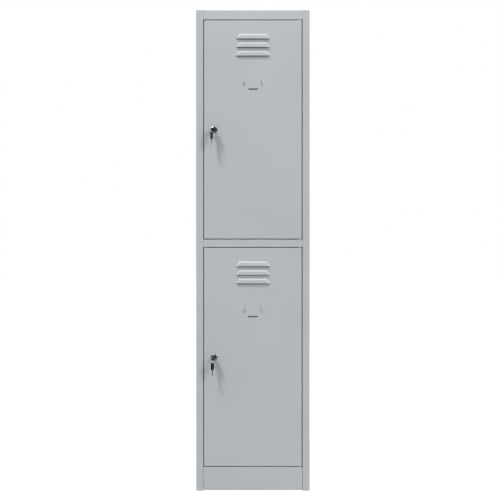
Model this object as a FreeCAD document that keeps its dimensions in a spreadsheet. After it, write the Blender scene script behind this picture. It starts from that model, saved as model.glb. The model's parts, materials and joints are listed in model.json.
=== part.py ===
import FreeCAD, Part
import Sketcher
import math
import os

from FreeCAD import Placement, Rotation, Vector

# Two-tier steel locker cabinet, in millimetres.
# Frame: +Z up, +X to the right seen from the front, the doors face -Y.
# Origin: on the floor, in the middle of the cabinet's rear face.

doc = FreeCAD.newDocument("LockerCabinet")

DRIVING_SIZES = {
    # carcass
    "cabinet_width": 425, "cabinet_depth": 500, "cabinet_height": 1800,
    "sheet_gauge": 0.8, "bend_radius": 1.5, "seam_gap": 0.1,
    "stile_width": 26.5, "return_depth": 22.5, "stop_reach": 11.5, "weld_flange": 20, "tray_flange": 15,
    "header_height": 35, "rail_height": 28, "plinth_top": 89, "plinth_lift": 3, "plinth_side_gap": 1.2,
    "plinth_flange": 20, "fixing_hole_radius": 4, "fixing_spacing": 240, "fixing_drop": 80,
    "back_inset": 1, "wing_setback": 5, "wing_rear_gap": 4, "cut_margin": 1,
    # doors
    "door_width": 366, "door_height": 818, "door_thickness": 18, "door_gap": 3, "door_lip": 14,
    "stiffener_left": 58, "stiffener_width": 50, "stiffener_flange": 10, "stiffener_depth": 14,
    "stiffener_margin": 20, "hole_play": 0.05,
    # hinge pins and their nylon bushes
    "pin_inset": 8.5, "pin_setback": 6, "pin_radius": 2.5, "pin_reach": 12.8, "pin_chamfer": 0.6,
    "collar_radius": 4.5, "collar_height": 1.9, "rivet_radius": 4, "rivet_height": 1.2, "rivet_taper": 0.5,
    "bush_clearance": 0.05, "bush_radius": 4, "bush_flange_radius": 5.5, "bush_flange": 1, "bush_depth": 6.8,
    # louvres, card holder and buffers
    "louvre_first": 50, "louvre_pitch": 32.5, "louvre_height": 18.5, "louvre_width": 124,
    "louvre_top_width": 110, "louvre_rise": 5.5, "louvre_face_width": 112, "louvre_face_top": 98,
    "louvre_face_height": 12, "louvre_base_wall": 0.8, "louvre_face_wall": 0.4, "punch_radius": 1.5,
    "lance_top": 212, "lance_height": 27, "lance_inner": 31.6, "lance_outer": 38.5, "lance_rise": 2.4,
    "lance_slope": 2.4, "lance_brow": 8, "lance_side_wall": 0.7, "lance_top_wall": 2.5,
    "lance_crest_wall": 0.35, "ledge_top": 253.8, "ledge_width": 36, "slot_height": 3.4,
    "ledge_rise": 2.2, "ledge_lip": 2,
    "buffer_radius": 4, "buffer_height": 4.3, "buffer_margin": 60, "buffer_inset": 4.5, "buffer_chamfer": 1.5,
    # cam locks
    "lock_inset": 38, "lock_drop": 1.5, "head_radius": 13, "head_height": 3, "head_chamfer": 1.2,
    "barrel_radius": 9, "barrel_flat": 8, "barrel_length": 23.5, "bore_radius": 6, "plug_clearance": 0.05,
    "plug_proud": 0.2, "plug_chamfer": 0.5, "plug_length": 24.1, "tail_side": 7, "tail_length": 2.3,
    "nut_flats": 23, "nut_height": 4, "cam_length": 28, "cam_radius": 8, "cam_gauge": 2.5,
    "screw_radius": 2.5, "screw_depth": 8,
    "screw_head_radius": 5, "screw_head_height": 3, "screw_head_chamfer": 1, "screw_hole_spare": 0.5,
    "driver_slot_half": 3.2, "driver_slot_depth": 1.2, "upper_turn": 0, "lower_turn": 45,
    # keys and rings
    "blade_width": 7, "blade_gauge": 2, "blade_length": 21, "blade_inserted": 15, "blade_embed": 6,
    "keyway_play": 0.15, "keyway_spare": 0.5, "blade_point": 2, "bow_width": 24, "bow_length": 27,
    "bow_gauge": 4.5, "bow_round": 1.2, "bow_corner": 7, "key_hole_radius": 3.5, "key_hole_edge": 6,
    "ring_radius": 10.85, "ring_wire": 0.85, "ring_hook": 8.4, "ring_hook_lift": -0.4, "ring_drop": 4,
    "spare_drop": 2, "upper_spare_turn": 13, "lower_spare_turn": 21,
    # coat rails
    "rail_tube_radius": 9.5, "rail_tube_gauge": 1.2, "rail_drop": 70, "rail_end_gap": 0.4,
    "socket_flange_radius": 22, "socket_flange": 1.5, "socket_radius": 12, "socket_depth": 12,
    "socket_floor": 1.3,
}

sheet = doc.addObject("Spreadsheet::Sheet", "Sizes")
for row, (alias, size) in enumerate(DRIVING_SIZES.items(), start=1):
    sheet.set(f"A{row}", alias)
    sheet.set(f"B{row}", str(size))
    sheet.setAlias(f"B{row}", alias)
doc.recompute()

PLANES = {"XY": "XY_Plane", "XZ": "XZ_Plane", "YZ": "YZ_Plane"}
TOUCH = 0.01  # how close two places must be to count as the same one
FULL_TURN = 360
DIGITS = 9  # decimals of a cosine or sine written into an expression
LOUVRE_COUNT = 3

# Each cut of the key's bitting: its depth, and where it lies back from the tip.
BITTING_DEPTHS = (1.2, 2.0, 0.8, 1.6)
BITTING_START, BITTING_PITCH = 4, 3
BITTING_FRONT, BITTING_FLAT, BITTING_BACK = 1.1, 0.4, 1.5

# Expressions that several pieces share.
GAUGE = "Sizes.sheet_gauge"
SEAM = "Sizes.seam_gap"
PAST = "Sizes.cut_margin"
HALF_WIDTH = "Sizes.cabinet_width / 2"
FRONT = "(-Sizes.cabinet_depth)"
OPENING = "(Sizes.cabinet_width / 2 - Sizes.stile_width)"
STOP_FACE = "(Sizes.return_depth - Sizes.cabinet_depth)"
STOP_EDGE = "(Sizes.cabinet_width / 2 - Sizes.stile_width - Sizes.stop_reach)"
INSIDE = "(Sizes.cabinet_width / 2 - Sizes.sheet_gauge)"
REAR_INSIDE = "(-Sizes.bend_radius - Sizes.sheet_gauge - 2 * Sizes.seam_gap)"
BEHIND_BEND = "(Sizes.bend_radius + Sizes.seam_gap - Sizes.cabinet_depth)"
RAIL_BOTTOM = "(Sizes.plinth_top + 2 * Sizes.door_gap + Sizes.door_height)"
RAIL_TOP = f"({RAIL_BOTTOM} + Sizes.rail_height)"
HEADER_BOTTOM = "(Sizes.cabinet_height - Sizes.header_height)"
DOOR_HALF = "(Sizes.door_width / 2)"
DOOR_BOTTOM = {"lower": "(Sizes.plinth_top + Sizes.door_gap)", "upper": f"({RAIL_TOP} + Sizes.door_gap)"}
PIN_X = "(Sizes.door_width / 2 - Sizes.pin_inset)"
PIN_Y = "(Sizes.pin_setback - Sizes.cabinet_depth)"
LOCK_X = "(Sizes.lock_inset - Sizes.door_width / 2)"
LOCK_Z = "(Sizes.door_height / 2 - Sizes.lock_drop)"
MID_SHEET = f"({FRONT} + {GAUGE} / 2)"
SHEET_BACK = f"({FRONT} + {GAUGE})"


def value(expression):
    """The number that an expression on the sheet stands for."""
    result = sheet.evalExpression(expression)
    return float(getattr(result, "Value", result))


def new_body(label):
    """An empty body; its label names the sub-part."""
    body = doc.addObject("PartDesign::Body", label)
    body.Label = label
    return body


def new_sketch(body, plane, offset="0"):
    """A sketch on one of the body's own origin planes, moved along the plane's normal."""
    sketch = body.newObject("Sketcher::SketchObject", "Outline")
    support = next(item for item in body.Origin.OriginFeatures if item.Role == PLANES[plane])
    sketch.AttachmentSupport = (support, [""])
    sketch.MapMode = "FlatFace"
    sketch.setExpression("AttachmentOffset.Base.z", offset)
    return sketch


def fix_point(sketch, geometry, point, place):
    """Tie one point of the sketch to the pair of expressions in place."""
    for kind, expression in zip(("DistanceX", "DistanceY"), place):
        constraint = Sketcher.Constraint(kind, -1, 1, geometry, point, value(expression))
        number = sketch.addConstraint(constraint)
        sketch.setExpression(f"Constraints[{number}]", expression)


def draw_polygon(sketch, points):
    """A closed polygon whose corners are pairs of expressions."""
    corners = [Vector(value(across), value(up), 0) for across, up in points]
    first = sketch.GeometryCount
    for start, end in zip(corners, corners[1:] + corners[:1]):
        sketch.addGeometry(Part.LineSegment(start, end), False)
    for index, place in enumerate(points):
        following = first + (index + 1) % len(points)
        sketch.addConstraint(Sketcher.Constraint("Coincident", first + index, 2, following, 1))
        fix_point(sketch, first + index, 1, place)


def draw_rectangle(sketch, left, right, low, high):
    draw_polygon(sketch, [(left, low), (right, low), (right, high), (left, high)])


def draw_circle(sketch, across, up, radius):
    circle = Part.Circle(Vector(value(across), value(up), 0), Vector(0, 0, 1), value(radius))
    geometry = sketch.addGeometry(circle, False)
    fix_point(sketch, geometry, 3, (across, up))
    number = sketch.addConstraint(Sketcher.Constraint("Radius", geometry, value(radius)))
    sketch.setExpression(f"Constraints[{number}]", radius)


def extrude(body, plane, low, high, draw, cut=False):
    """Pad or pocket an outline from low to high along the axis that its plane leaves out."""
    start = f"-({high})" if plane == "XZ" else low
    sketch = new_sketch(body, plane, start)
    draw(sketch)
    kind = "PartDesign::Pocket" if cut else "PartDesign::Pad"
    feature = body.newObject(kind, "Cut" if cut else "Pad")
    feature.Profile = sketch
    feature.setExpression("Length", f"({high}) - ({low})")
    feature.Reversed = cut
    doc.recompute()
    return feature


def box(body, left, right, near, far, low, high, cut=False):
    """A rectangular block, added or cut."""
    extrude(body, "XY", low, high, lambda sketch: draw_rectangle(sketch, left, right, near, far), cut)


def drill(body, plane, low, high, across, up, radius):
    extrude(body, plane, low, high, lambda sketch: draw_circle(sketch, across, up, radius), cut=True)


def revolve(body, points, plane="XZ", axis="V_Axis"):
    """Turn a half profile, pairs of (radius, height), about the sketch's own axis."""
    sketch = new_sketch(body, plane)
    draw_polygon(sketch, points)
    turning = body.newObject("PartDesign::Revolution", "Turning")
    turning.Profile = sketch
    turning.ReferenceAxis = (sketch, [axis])
    turning.Angle = FULL_TURN
    doc.recompute()
    return turning


def round_edges(body, radius, wanted):
    """Round the edges of the body so far that pass the test."""
    base = body.Tip
    names = [f"Edge{index}" for index, edge in enumerate(base.Shape.Edges, start=1) if wanted(edge)]
    fillet = body.newObject("PartDesign::Fillet", "Rounding")
    fillet.Base = (base, names)
    fillet.setExpression("Radius", radius)
    doc.recompute()


def shifted(place, steps):
    """Move a pair of expressions by whole sheet gauges."""
    return tuple(f"({where} + {step} * {GAUGE})" for where, step in zip(place, steps))


def fold(body, plane, path, low, high, left_side=True):
    """Extrude a folded strip of sheet and round its bends.

    path is one face of the strip, with square bends; the metal lies on its left or right side.
    """
    corners = [Vector(value(across), value(up), 0) for across, up in path]
    legs = [(end - start).normalize() for start, end in zip(corners, corners[1:])]
    sign = 1 if left_side else -1
    normals = [Vector(-sign * leg.y, sign * leg.x, 0) for leg in legs]
    offsets, sharp, hollow = [], [], []
    for index, corner in enumerate(corners):
        before = normals[index - 1] if index else None
        after = normals[index] if index < len(legs) else None
        if before is None or after is None:
            step = before or after
            offsets.append(step)
            continue
        step = before + after
        offsets.append(step)
        other = corner + step * value(GAUGE)
        turn = sign * legs[index - 1].cross(legs[index]).z
        sharp.append(corner if turn > 0 else other)
        hollow.append(other if turn > 0 else corner)
    back = [shifted(path[index], (round(step.x), round(step.y))) for index, step in enumerate(offsets)]
    outline = list(path) + back[::-1]
    extrude(body, plane, low, high, lambda sketch: draw_polygon(sketch, outline))
    round_bends(body, plane, sharp, "Sizes.bend_radius")
    round_bends(body, plane, hollow, f"Sizes.bend_radius - {GAUGE}")


def round_bends(body, plane, corners, radius):
    """Round the bend lines that cross the plane at these corners."""
    if not corners:
        return
    across, up = {"XY": (0, 1), "XZ": (0, 2), "YZ": (1, 2)}[plane]

    def on_bend(edge):
        ends = [vertex.Point for vertex in edge.Vertexes]
        return any(
            all(abs(end[across] - corner.x) < TOUCH and abs(end[up] - corner.y) < TOUCH for end in ends)
            for corner in corners
        )

    round_edges(body, radius, on_bend)


def place(body, across="0", depth="0", height="0", rotation=None):
    """Put a finished body in the cabinet."""
    body.Placement = Placement(Vector(0, 0, 0), rotation or Rotation())
    for name, expression in (("x", across), ("y", depth), ("z", height)):
        body.setExpression(f"Placement.Base.{name}", expression)


# ---------------------------------------------------------------- carcass

def side_panel(label, side):
    """One sheet folded into rear flange, side skin, front stile, return and door-stop lip."""
    body = new_body(label)

    def across(expression):
        return f"({side} * ({expression}))"

    path = [
        (across(f"{HALF_WIDTH} - Sizes.weld_flange"), f"(-{GAUGE})"),
        (across(HALF_WIDTH), f"(-{GAUGE})"),
        (across(HALF_WIDTH), FRONT),
        (across(OPENING), FRONT),
        (across(OPENING), STOP_FACE),
        (across(STOP_EDGE), STOP_FACE),
    ]
    fold(body, "XY", path, "0", "Sizes.cabinet_height", left_side=side < 0)
    edges = sorted((across(f"{STOP_EDGE} - {PAST}"), across(OPENING)), key=value)
    notches = [
        (f"-{PAST}", f"Sizes.plinth_top + {SEAM}"),
        (f"{RAIL_BOTTOM} - {SEAM}", f"{RAIL_TOP} + {SEAM}"),
        (f"{HEADER_BOTTOM} - {SEAM}", f"Sizes.cabinet_height + {PAST}"),
    ]

    def lip_notches(sketch):
        for low, high in notches:
            draw_rectangle(sketch, edges[0], edges[1], low, high)

    extrude(body, "XZ", f"{STOP_FACE} - {PAST}", f"{STOP_FACE} + 2 * {PAST}", lip_notches, cut=True)
    edges = sorted((across(f"{OPENING} - {PAST}"), across(f"{INSIDE} - {SEAM}")), key=value)
    box(body, edges[0], edges[1], f"{SHEET_BACK} + {SEAM}", f"{STOP_FACE} + 3 * {PAST}",
        f"Sizes.cabinet_height - {GAUGE} - {SEAM}", f"Sizes.cabinet_height + {PAST}", cut=True)
    return body


def back_panel():
    """The flat sheet welded over the rear flanges, with two wall-fixing holes near its top."""
    body = new_body("back_panel")
    half = f"({HALF_WIDTH} - Sizes.back_inset)"
    box(body, f"-{half}", half, f"-{GAUGE}", "0", "0", "Sizes.cabinet_height")
    for side in (-1, 1):
        drill(body, "XZ", f"-{GAUGE} - {PAST}", PAST, f"{side} * Sizes.fixing_spacing / 2",
              "Sizes.cabinet_height - Sizes.fixing_drop", "Sizes.fixing_hole_radius")
    return body


def tray(label, top, front_path, wing_front):
    """A shelf-like sheet: rear flange, plate, folded front, and wings with side flanges."""
    body = new_body(label)
    half = f"({OPENING} - {SEAM})"
    path = [(f"(-{GAUGE})", f"({top} - Sizes.tray_flange)"), (f"(-{GAUGE})", top)] + front_path
    fold(body, "YZ", path, f"-{half}", half)
    for side in (-1, 1):
        plate = sorted((f"{side} * {half}", f"{side} * {INSIDE}"), key=value)
        flange = sorted((f"{side} * {INSIDE}", f"{side} * ({INSIDE} - {GAUGE})"), key=value)
        box(body, plate[0], plate[1], wing_front, REAR_INSIDE, f"{top} - {GAUGE}", top)
        box(body, flange[0], flange[1], f"{STOP_FACE} + Sizes.wing_setback",
            f"{REAR_INSIDE} - Sizes.wing_rear_gap", f"{top} - Sizes.tray_flange", f"{top} - {GAUGE}")
    return body


def trim_lip(body, lip_top):
    """Shorten the door-stop lip under a folded front so that it ends at the side lips."""
    for side in (-1, 1):
        ends = sorted((f"{side} * ({STOP_EDGE} - {SEAM})", f"{side} * ({OPENING} + {PAST})"), key=value)
        box(body, ends[0], ends[1], f"{STOP_FACE} - {PAST}", f"{STOP_FACE} + 2 * {PAST}",
            f"{lip_top} - Sizes.stop_reach - {PAST}", f"{lip_top} - {SEAM}", cut=True)


def pin_hole(body, height):
    """The hinge pin's hole through the sheet whose face is at this height."""
    drill(body, "XY", f"{height} - 2 * {PAST}", f"{height} + 2 * {PAST}", PIN_X, PIN_Y, "Sizes.pin_radius")


def top_panel():
    """The roof sheet, folded down at the front into the header and the upper door's stop."""
    front_path = [
        (FRONT, "Sizes.cabinet_height"), (FRONT, HEADER_BOTTOM), (STOP_FACE, HEADER_BOTTOM),
        (STOP_FACE, f"({HEADER_BOTTOM} - Sizes.stop_reach)"),
    ]
    body = tray("top_panel", "Sizes.cabinet_height", front_path, BEHIND_BEND)
    trim_lip(body, HEADER_BOTTOM)
    pin_hole(body, HEADER_BOTTOM)
    return body


def middle_shelf():
    """The shelf between the tiers, folded down at the front into the rail and the lower door's stop."""
    front_path = [
        (FRONT, RAIL_TOP), (FRONT, RAIL_BOTTOM), (STOP_FACE, RAIL_BOTTOM),
        (STOP_FACE, f"({RAIL_BOTTOM} - Sizes.stop_reach)"),
    ]
    body = tray("middle_shelf", RAIL_TOP, front_path, f"{STOP_FACE} + {GAUGE} + {SEAM}")
    trim_lip(body, RAIL_BOTTOM)
    pin_hole(body, RAIL_BOTTOM)
    pin_hole(body, RAIL_TOP)
    return body


def floor_panel():
    """The lower compartment's floor; its front edge lies under the plinth's top flange."""
    top = f"(Sizes.plinth_top - {GAUGE})"
    front_path = [(BEHIND_BEND, top)]
    body = tray("floor_panel", top, front_path, f"{STOP_FACE} + {GAUGE} + {SEAM}")
    pin_hole(body, top)
    return body


def plinth():
    """The kick plate between the stiles, folded back at its top and bottom."""
    body = new_body("plinth")
    path = [
        (f"({FRONT} + Sizes.plinth_flange)", "Sizes.plinth_top"), (FRONT, "Sizes.plinth_top"),
        (FRONT, "Sizes.plinth_lift"), (f"({FRONT} + Sizes.plinth_flange)", "Sizes.plinth_lift"),
    ]
    half = f"({OPENING} - Sizes.plinth_side_gap)"
    fold(body, "YZ", path, f"-{half}", half)
    pin_hole(body, "Sizes.plinth_top")
    return body


def coat_rail(label, height):
    body = new_body(label)
    end = f"({INSIDE} - Sizes.socket_flange - Sizes.rail_end_gap)"

    def ring(sketch):
        draw_circle(sketch, "0", "0", "Sizes.rail_tube_radius")
        draw_circle(sketch, "0", "0", "Sizes.rail_tube_radius - Sizes.rail_tube_gauge")

    extrude(body, "YZ", f"-{end}", end, ring)
    place(body, "0", f"{FRONT} / 2", height)
    return body


def rail_socket(label, side, height):
    """A flanged cup welded to the side skin that holds one end of a coat rail."""
    body = new_body(label)
    bore = "Sizes.rail_tube_radius + Sizes.hole_play"
    revolve(body, [
        ("0", "0"), ("Sizes.socket_flange_radius", "0"),
        ("Sizes.socket_flange_radius", "Sizes.socket_flange"),
        ("Sizes.socket_radius", "Sizes.socket_flange"), ("Sizes.socket_radius", "Sizes.socket_depth"),
        (bore, "Sizes.socket_depth"), (bore, "Sizes.socket_floor"), ("0", "Sizes.socket_floor"),
    ])
    inward = Rotation(Vector(0, 1, 0), -90 * side)
    place(body, f"{side} * {INSIDE}", f"{FRONT} / 2", height, inward)
    return body


def hinge_pin(label, seat, stack, upward):
    """A shouldered pin riveted through its sheet; stack is the thickness of metal it passes."""
    body = new_body(label)
    shaft = "Sizes.pin_radius"
    rivet_low = f"-({stack}) - Sizes.rivet_height"
    revolve(body, [
        ("0", rivet_low), ("Sizes.rivet_radius - Sizes.rivet_taper", rivet_low),
        ("Sizes.rivet_radius", f"-({stack})"), (shaft, f"-({stack})"), (shaft, "0"),
        ("Sizes.collar_radius", "0"), ("Sizes.collar_radius", "Sizes.collar_height"),
        (shaft, "Sizes.collar_height"), (shaft, "Sizes.pin_reach - Sizes.pin_chamfer"),
        (f"{shaft} - Sizes.pin_chamfer", "Sizes.pin_reach"), ("0", "Sizes.pin_reach"),
    ])
    place(body, PIN_X, PIN_Y, seat, Rotation() if upward else Rotation(Vector(1, 0, 0), 180))
    return body


# ---------------------------------------------------------------- doors

def outline_loft(body, base_y, base, face_y, face, cut=False):
    """A pressed bump between an outline on the door skin and a smaller one in front of it."""
    lower = new_sketch(body, "XZ", f"-({base_y})")
    draw_polygon(lower, base)
    upper = new_sketch(body, "XZ", f"-({face_y})")
    draw_polygon(upper, face)
    kind = "PartDesign::SubtractiveLoft" if cut else "PartDesign::AdditiveLoft"
    loft = body.newObject(kind, "Hollow" if cut else "Bump")
    loft.Profile = lower
    loft.Sections = [upper]
    loft.Ruled = True
    doc.recompute()


def trapezoid(low, high, low_half, high_half):
    return [(f"-({low_half})", low), (low_half, low), (high_half, high), (f"-({high_half})", high)]


def louvre_levels(index):
    """The bottom, the top of the face and the top of one louvre, from the door's bottom edge."""
    top = f"(Sizes.door_height - Sizes.louvre_first - {index} * Sizes.louvre_pitch)"
    low = f"({top} - Sizes.louvre_height)"
    return low, f"({low} + Sizes.louvre_face_height)", top


def add_louvres(body):
    """Pressed louvres, open along their lower edge."""
    face_y = f"({FRONT} - Sizes.louvre_rise)"
    levels = [louvre_levels(index) for index in range(LOUVRE_COUNT)]
    for low, face_top, top in levels:
        base = trapezoid(low, top, "Sizes.louvre_width / 2", "Sizes.louvre_top_width / 2")
        face = trapezoid(low, face_top, "Sizes.louvre_face_width / 2", "Sizes.louvre_face_top / 2")
        outline_loft(body, MID_SHEET, base, face_y, face)
    crest = value(face_y)
    bottoms = [value(low) for low, face_top, top in levels]

    def on_rim(edge):
        ends = [vertex.Point for vertex in edge.Vertexes]
        in_face = [abs(end.y - crest) < TOUCH for end in ends]
        along_mouth = all(any(abs(end.z - low) < TOUCH for low in bottoms) for end in ends)
        return any(in_face) and not along_mouth

    round_edges(body, "Sizes.punch_radius", on_rim)
    wall, face_wall = "Sizes.louvre_base_wall", "Sizes.louvre_face_wall"
    for low, face_top, top in levels:
        base = trapezoid(low, f"{top} - {wall}", f"Sizes.louvre_width / 2 - {wall}",
                         f"Sizes.louvre_top_width / 2 - {wall}")
        face = trapezoid(low, f"{face_top} - {face_wall}", f"Sizes.louvre_face_width / 2 - {face_wall}",
                         f"Sizes.louvre_face_top / 2 - {face_wall}")
        outline_loft(body, SHEET_BACK, base, f"{face_y} + {GAUGE}", face, cut=True)


def add_lance(body, side):
    """A flap that holds one edge of the name card, open along its inner side and its lower end."""
    high = "(Sizes.door_height - Sizes.lance_top)"
    low = f"({high} - Sizes.lance_height)"
    brow = f"({low} + Sizes.lance_brow)"
    inner = f"{side} * Sizes.lance_inner"

    def outline(outer, top):
        edge = f"{side} * ({outer})"
        return [(inner, low), (edge, low), (edge, top), (inner, top)]

    crest = "Sizes.lance_outer - Sizes.lance_slope"
    face_y = f"{FRONT} - Sizes.lance_rise"
    outline_loft(body, MID_SHEET, outline("Sizes.lance_outer", high), face_y, outline(crest, brow))
    hollow = outline("Sizes.lance_outer - Sizes.lance_side_wall", f"{high} - Sizes.lance_top_wall")
    hollow_face = outline(f"{crest} - Sizes.lance_crest_wall", brow)
    outline_loft(body, SHEET_BACK, hollow, f"{face_y} + {GAUGE}", hollow_face, cut=True)


def add_ledge(body):
    """The tab that the name card stands on, folded up out of its slot."""
    half = "Sizes.ledge_width / 2"
    slot_top = "(Sizes.door_height - Sizes.ledge_top - Sizes.ledge_lip)"
    face_y = f"{FRONT} - Sizes.ledge_rise"
    box(body, f"-{half}", half, face_y, MID_SHEET, slot_top, f"{slot_top} + {GAUGE}")
    box(body, f"-{half}", half, face_y, f"{face_y} + {GAUGE}", slot_top, f"{slot_top} + Sizes.ledge_lip")
    box(body, f"-{half}", half, f"{FRONT} - {PAST}", f"{FRONT} + 2 * {PAST}",
        f"{slot_top} - Sizes.slot_height", slot_top, cut=True)


def lock_outline(sketch, margin):
    """The double-flatted outline of the lock barrel, widened by margin."""
    radius = value(f"Sizes.barrel_radius + {margin}")
    flat = value(f"Sizes.barrel_flat + {margin}")
    centre = Vector(value(LOCK_X), value(LOCK_Z), 0)
    reach = math.sqrt(radius ** 2 - flat ** 2)
    angle = math.atan2(flat, reach)
    places = ((reach, flat), (-reach, flat), (-reach, -flat), (reach, -flat))
    corners = [centre + Vector(across, up, 0) for across, up in places]
    circle = Part.Circle(centre, Vector(0, 0, 1), radius)
    sketch.addGeometry(Part.LineSegment(corners[0], corners[1]), False)
    sketch.addGeometry(Part.ArcOfCircle(circle, math.pi - angle, math.pi + angle), False)
    sketch.addGeometry(Part.LineSegment(corners[2], corners[3]), False)
    sketch.addGeometry(Part.ArcOfCircle(circle, -angle, angle), False)
    for first, first_end, second, second_end in ((0, 2, 1, 1), (1, 2, 2, 1), (2, 2, 3, 1), (3, 2, 0, 1)):
        sketch.addConstraint(Sketcher.Constraint("Coincident", first, first_end, second, second_end))
    fix_point(sketch, 3, 3, (LOCK_X, LOCK_Z))
    sketch.addConstraint(Sketcher.Constraint("Coincident", 1, 3, 3, 3))
    number = sketch.addConstraint(Sketcher.Constraint("Radius", 3, radius))
    sketch.setExpression(f"Constraints[{number}]", f"Sizes.barrel_radius + {margin}")
    for line, side in ((0, 1), (2, -1)):
        sketch.addConstraint(Sketcher.Constraint("Horizontal", line))
        number = sketch.addConstraint(Sketcher.Constraint("DistanceY", 3, 3, line, 1, side * flat))
        sketch.setExpression(f"Constraints[{number}]", f"{side} * (Sizes.barrel_flat + {margin})")


def door_skin(tier):
    """The door's front sheet: a folded pan, its returns ending in narrow lips."""
    body = new_body(f"{tier}_door_skin")
    rear = f"{FRONT} + Sizes.door_thickness"
    box(body, f"-{DOOR_HALF}", DOOR_HALF, FRONT, rear, "0", "Sizes.door_height")
    front = value(FRONT)
    half = value(DOOR_HALF)
    height = value("Sizes.door_height")

    def on_fold(edge):
        middle = edge.CenterOfMass
        on_front = abs(middle.y - front) < TOUCH
        on_corner = abs(abs(middle.x) - half) < TOUCH and min(abs(middle.z), abs(middle.z - height)) < TOUCH
        return on_front or on_corner

    round_edges(body, "Sizes.bend_radius", on_fold)
    box(body, f"{GAUGE} - {DOOR_HALF}", f"{DOOR_HALF} - {GAUGE}", SHEET_BACK, f"{rear} - {GAUGE}",
        GAUGE, f"Sizes.door_height - {GAUGE}", cut=True)
    lip = "Sizes.door_lip"
    half_open = f"({DOOR_HALF} - {lip})"
    box(body, f"-{half_open}", half_open, f"{rear} - {GAUGE} - {PAST}", f"{rear} + {PAST}",
        lip, f"Sizes.door_height - {lip}", cut=True)
    add_louvres(body)
    for side in (-1, 1):
        add_lance(body, side)
    add_ledge(body)
    extrude(body, "XZ", f"{FRONT} - {PAST}", f"{FRONT} + 2 * {PAST}",
            lambda sketch: lock_outline(sketch, "Sizes.hole_play"), cut=True)
    for edge in ("0", "Sizes.door_height"):
        drill(body, "XY", f"{edge} - 2 * {PAST}", f"{edge} + 2 * {PAST}", PIN_X, PIN_Y, "Sizes.bush_radius")
    place(body, height=DOOR_BOTTOM[tier])
    return body


def door_stiffener(tier):
    """A vertical top-hat channel spot-welded behind the door skin."""
    body = new_body(f"{tier}_door_stiffener")
    left = f"(Sizes.stiffener_left - {DOOR_HALF})"
    right = f"({left} + Sizes.stiffener_width)"
    crown = f"({SHEET_BACK} + Sizes.stiffener_depth)"
    web_left = f"({left} + Sizes.stiffener_flange)"
    web_right = f"({right} - Sizes.stiffener_flange)"
    path = [
        (left, SHEET_BACK), (web_left, SHEET_BACK), (web_left, crown), (web_right, crown),
        (web_right, SHEET_BACK), (right, SHEET_BACK),
    ]
    fold(body, "XY", path, "Sizes.stiffener_margin", "Sizes.door_height - Sizes.stiffener_margin")
    place(body, height=DOOR_BOTTOM[tier])
    return body


def hinge_bush(label, height, outward_up):
    """A flanged nylon bush in the door's edge, turning on a hinge pin."""
    body = new_body(label)
    bore = "Sizes.pin_radius + Sizes.bush_clearance"
    revolve(body, [
        (bore, "-Sizes.bush_depth"), ("Sizes.bush_radius", "-Sizes.bush_depth"), ("Sizes.bush_radius", "0"),
        ("Sizes.bush_flange_radius", "0"), ("Sizes.bush_flange_radius", "Sizes.bush_flange"),
        (bore, "Sizes.bush_flange"),
    ])
    place(body, PIN_X, PIN_Y, height, Rotation() if outward_up else Rotation(Vector(1, 0, 0), 180))
    return body


def buffer_pad(label, height):
    """A domed rubber pad on the door's rear lip that meets the stop lip."""
    body = new_body(label)
    revolve(body, [
        ("0", "0"), ("Sizes.buffer_radius", "0"),
        ("Sizes.buffer_radius", "Sizes.buffer_height - Sizes.buffer_chamfer"),
        ("Sizes.buffer_radius - Sizes.buffer_chamfer", "Sizes.buffer_height"), ("0", "Sizes.buffer_height"),
    ])
    backward = Rotation(Vector(1, 0, 0), -90)
    place(body, f"Sizes.buffer_inset - {DOOR_HALF}", f"{FRONT} + Sizes.door_thickness", height, backward)
    return body


# ---------------------------------------------------------------- cam locks
# Every lock piece is drawn about the lock axis, +Z into the cabinet, and then laid along +Y.

def lock_rotation(turn):
    """Lay a piece drawn along +Z along +Y, turned counter-clockwise seen from the front."""
    return Rotation(Vector(0, 1, 0), -turn) * Rotation(Vector(1, 0, 0), -90)


def place_lock_piece(body, tier, turn=0):
    place(body, LOCK_X, FRONT, f"{DOOR_BOTTOM[tier]} + {LOCK_Z}", lock_rotation(turn))


def lock_housing(tier):
    """The chromed head and flatted barrel."""
    body = new_body(f"{tier}_lock_housing")
    chamfer = "Sizes.head_chamfer"
    revolve(body, [
        ("Sizes.bore_radius", "-Sizes.head_height"),
        (f"Sizes.head_radius - 2 * {chamfer}", "-Sizes.head_height"),
        ("Sizes.head_radius", f"{chamfer} - Sizes.head_height"), ("Sizes.head_radius", "0"),
        ("Sizes.barrel_radius", "0"), ("Sizes.barrel_radius", "Sizes.barrel_length"),
        ("Sizes.bore_radius", "Sizes.barrel_length"),
    ])
    far = f"(Sizes.barrel_radius + {PAST})"
    for side in (-1, 1):
        edges = sorted((f"{side} * Sizes.barrel_flat", f"{side} * {far}"), key=value)
        box(body, f"-{far}", far, edges[0], edges[1], "0", f"Sizes.barrel_length + {PAST}", cut=True)
    place_lock_piece(body, tier)
    return body


def direction(angle):
    """The cosine and sine of an angle in degrees, short enough for an expression."""
    turn = math.radians(angle)
    return round(math.cos(turn), DIGITS), round(math.sin(turn), DIGITS)


def lock_nut(tier):
    body = new_body(f"{tier}_lock_nut")
    corner = "Sizes.nut_flats / sqrt(3)"
    directions = [direction(step * FULL_TURN / 6) for step in range(6)]

    def hexagon(sketch):
        draw_polygon(sketch, [(f"{corner} * {cosine}", f"{corner} * {sine}") for cosine, sine in directions])
        draw_circle(sketch, "0", "0", "Sizes.barrel_radius")

    extrude(body, "XY", GAUGE, f"{GAUGE} + Sizes.nut_height", hexagon)
    place_lock_piece(body, tier)
    return body


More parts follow.
